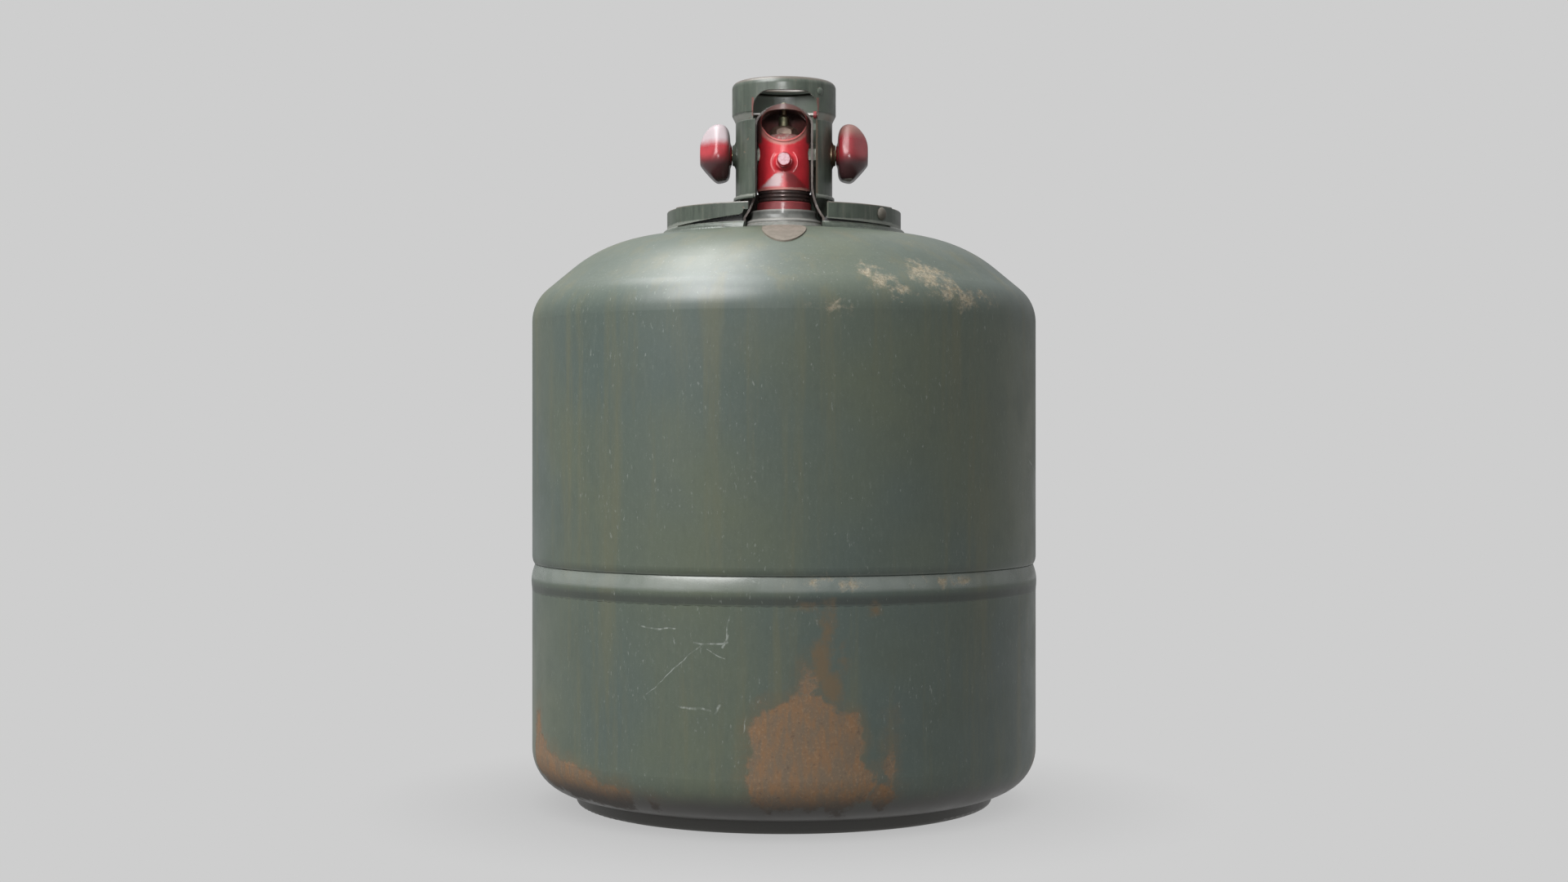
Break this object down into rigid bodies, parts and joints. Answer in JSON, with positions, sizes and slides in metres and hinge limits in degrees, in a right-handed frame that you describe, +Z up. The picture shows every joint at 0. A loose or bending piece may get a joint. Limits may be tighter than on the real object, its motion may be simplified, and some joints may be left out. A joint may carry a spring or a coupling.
{
  "type": "propane tank",
  "caption": "Weathered steel gas cylinder with a tall valve guard, a red twin-handwheel valve, a dome ring and a foot ring.",
  "frame": {"origin": "on the ground, on the tank's axis", "axes": "+Z up along the tank's axis, -Y towards the front with the push button, +X to the right"},
  "size_m": [0.31, 0.31, 0.4425],
  "materials": {
    "green_paint": "weathered",
    "red_paint": "semi-gloss",
    "grey_paint": "worn",
    "tan_plate": "matte",
    "brass": "aged",
    "bare_steel": "satin",
    "dark_steel": "dark",
    "rubber": "matte",
    "float_plastic": "matte"
  },
  "bodies": {
    "vessel": {"bleed_seal": "rubber", "bleed_spring": "bare_steel", "bottom_head": "green_paint", "bottom_head_weld": "green_paint", "cross_pin": "bare_steel", "cross_pin_collar": "red_paint", "dip_tube": "brass", "dome_plate": "tan_plate", "float_pin": "bare_steel", "foot_ring": "green_paint", "girth_weld": "green_paint", "gland_nut": "brass", "gland_packing_left": "rubber", "gland_packing_right": "rubber", "guard": "green_paint", "guard_boss_left": "green_paint", "guard_boss_right": "brass", "guard_foot": "green_paint", "guard_rivet": "green_paint", "hood_strap": "grey_paint", "level_tube": "brass", "lock_ring": "dark_steel", "lower_shell": "green_paint", "neck_boss": "grey_paint", "neck_weld": "green_paint", "outlet_port": "brass", "outlet_seal": "rubber", "packing_nut_left": "brass", "packing_nut_right": "brass", "red_ring": "red_paint", "relief_spring": "bare_steel", "ring_front_left": "green_paint", "ring_front_right": "green_paint", "ring_rear": "green_paint", "ring_rivet": "bare_steel", "ring_weld": "green_paint", "stop_housing": "brass", "upper_shell": "green_paint", "valve_block": "brass", "valve_hood": "red_paint", "valve_shoulder": "red_paint"},
    "left_wheel": {"handwheel_left": "red_paint", "spindle_left": "bare_steel", "wheel_washer_left": "bare_steel", "wheel_screw_left": "bare_steel"},
    "right_wheel": {"handwheel_right": "red_paint", "spindle_right": "bare_steel", "wheel_washer_right": "bare_steel", "wheel_screw_right": "bare_steel"},
    "left_seat": {"seat_carrier_left": "brass", "seat_disc_left": "rubber"},
    "right_seat": {"seat_carrier_right": "brass", "seat_disc_right": "rubber"},
    "relief": {"relief_stem": "brass", "relief_seal": "rubber"},
    "button": {"bleed_button": "red_paint"},
    "float_swing_arm": {"float_arm": "bare_steel", "float": "float_plastic"}
  },
  "joints": [
    {"name": "left_wheel_turn", "type": "hinge", "parent": "vessel", "child": "left_wheel", "pos_m": [0, 0, 0.3978], "axis": [-1, 0, 0], "range_deg": [0, 450]},
    {"name": "left_seat_slide", "type": "slide", "parent": "vessel", "child": "left_seat", "axis": [-1, 0, 0], "range_m": [0, 0.0013]},
    {"name": "right_wheel_turn", "type": "hinge", "parent": "vessel", "child": "right_wheel", "pos_m": [0, 0, 0.3978], "axis": [1, 0, 0], "range_deg": [0, 450]},
    {"name": "right_seat_slide", "type": "slide", "parent": "vessel", "child": "right_seat", "axis": [1, 0, 0], "range_m": [0, 0.0013]},
    {"name": "relief_lift", "type": "slide", "parent": "vessel", "child": "relief", "axis": [0, 0, 1], "range_m": [0, 0.002], "stiffness_N_per_m": 900, "deforming": ["relief_spring"]},
    {"name": "button_push", "type": "slide", "parent": "vessel", "child": "button", "axis": [0, 1, 0], "range_m": [0, 0.0025], "stiffness_N_per_m": 400, "deforming": ["bleed_spring"]},
    {"name": "float_swing", "type": "hinge", "parent": "vessel", "child": "float_swing_arm", "pos_m": [0.014, 0, 0.248], "axis": [0, -1, 0], "range_deg": [0, 45]}
  ],
  "couplings": [
    {"joint": "left_seat_slide", "follows": "left_wheel_turn", "m_per_rad": 0.00015915},
    {"joint": "right_seat_slide", "follows": "right_wheel_turn", "m_per_rad": 0.00015915}
  ]
}
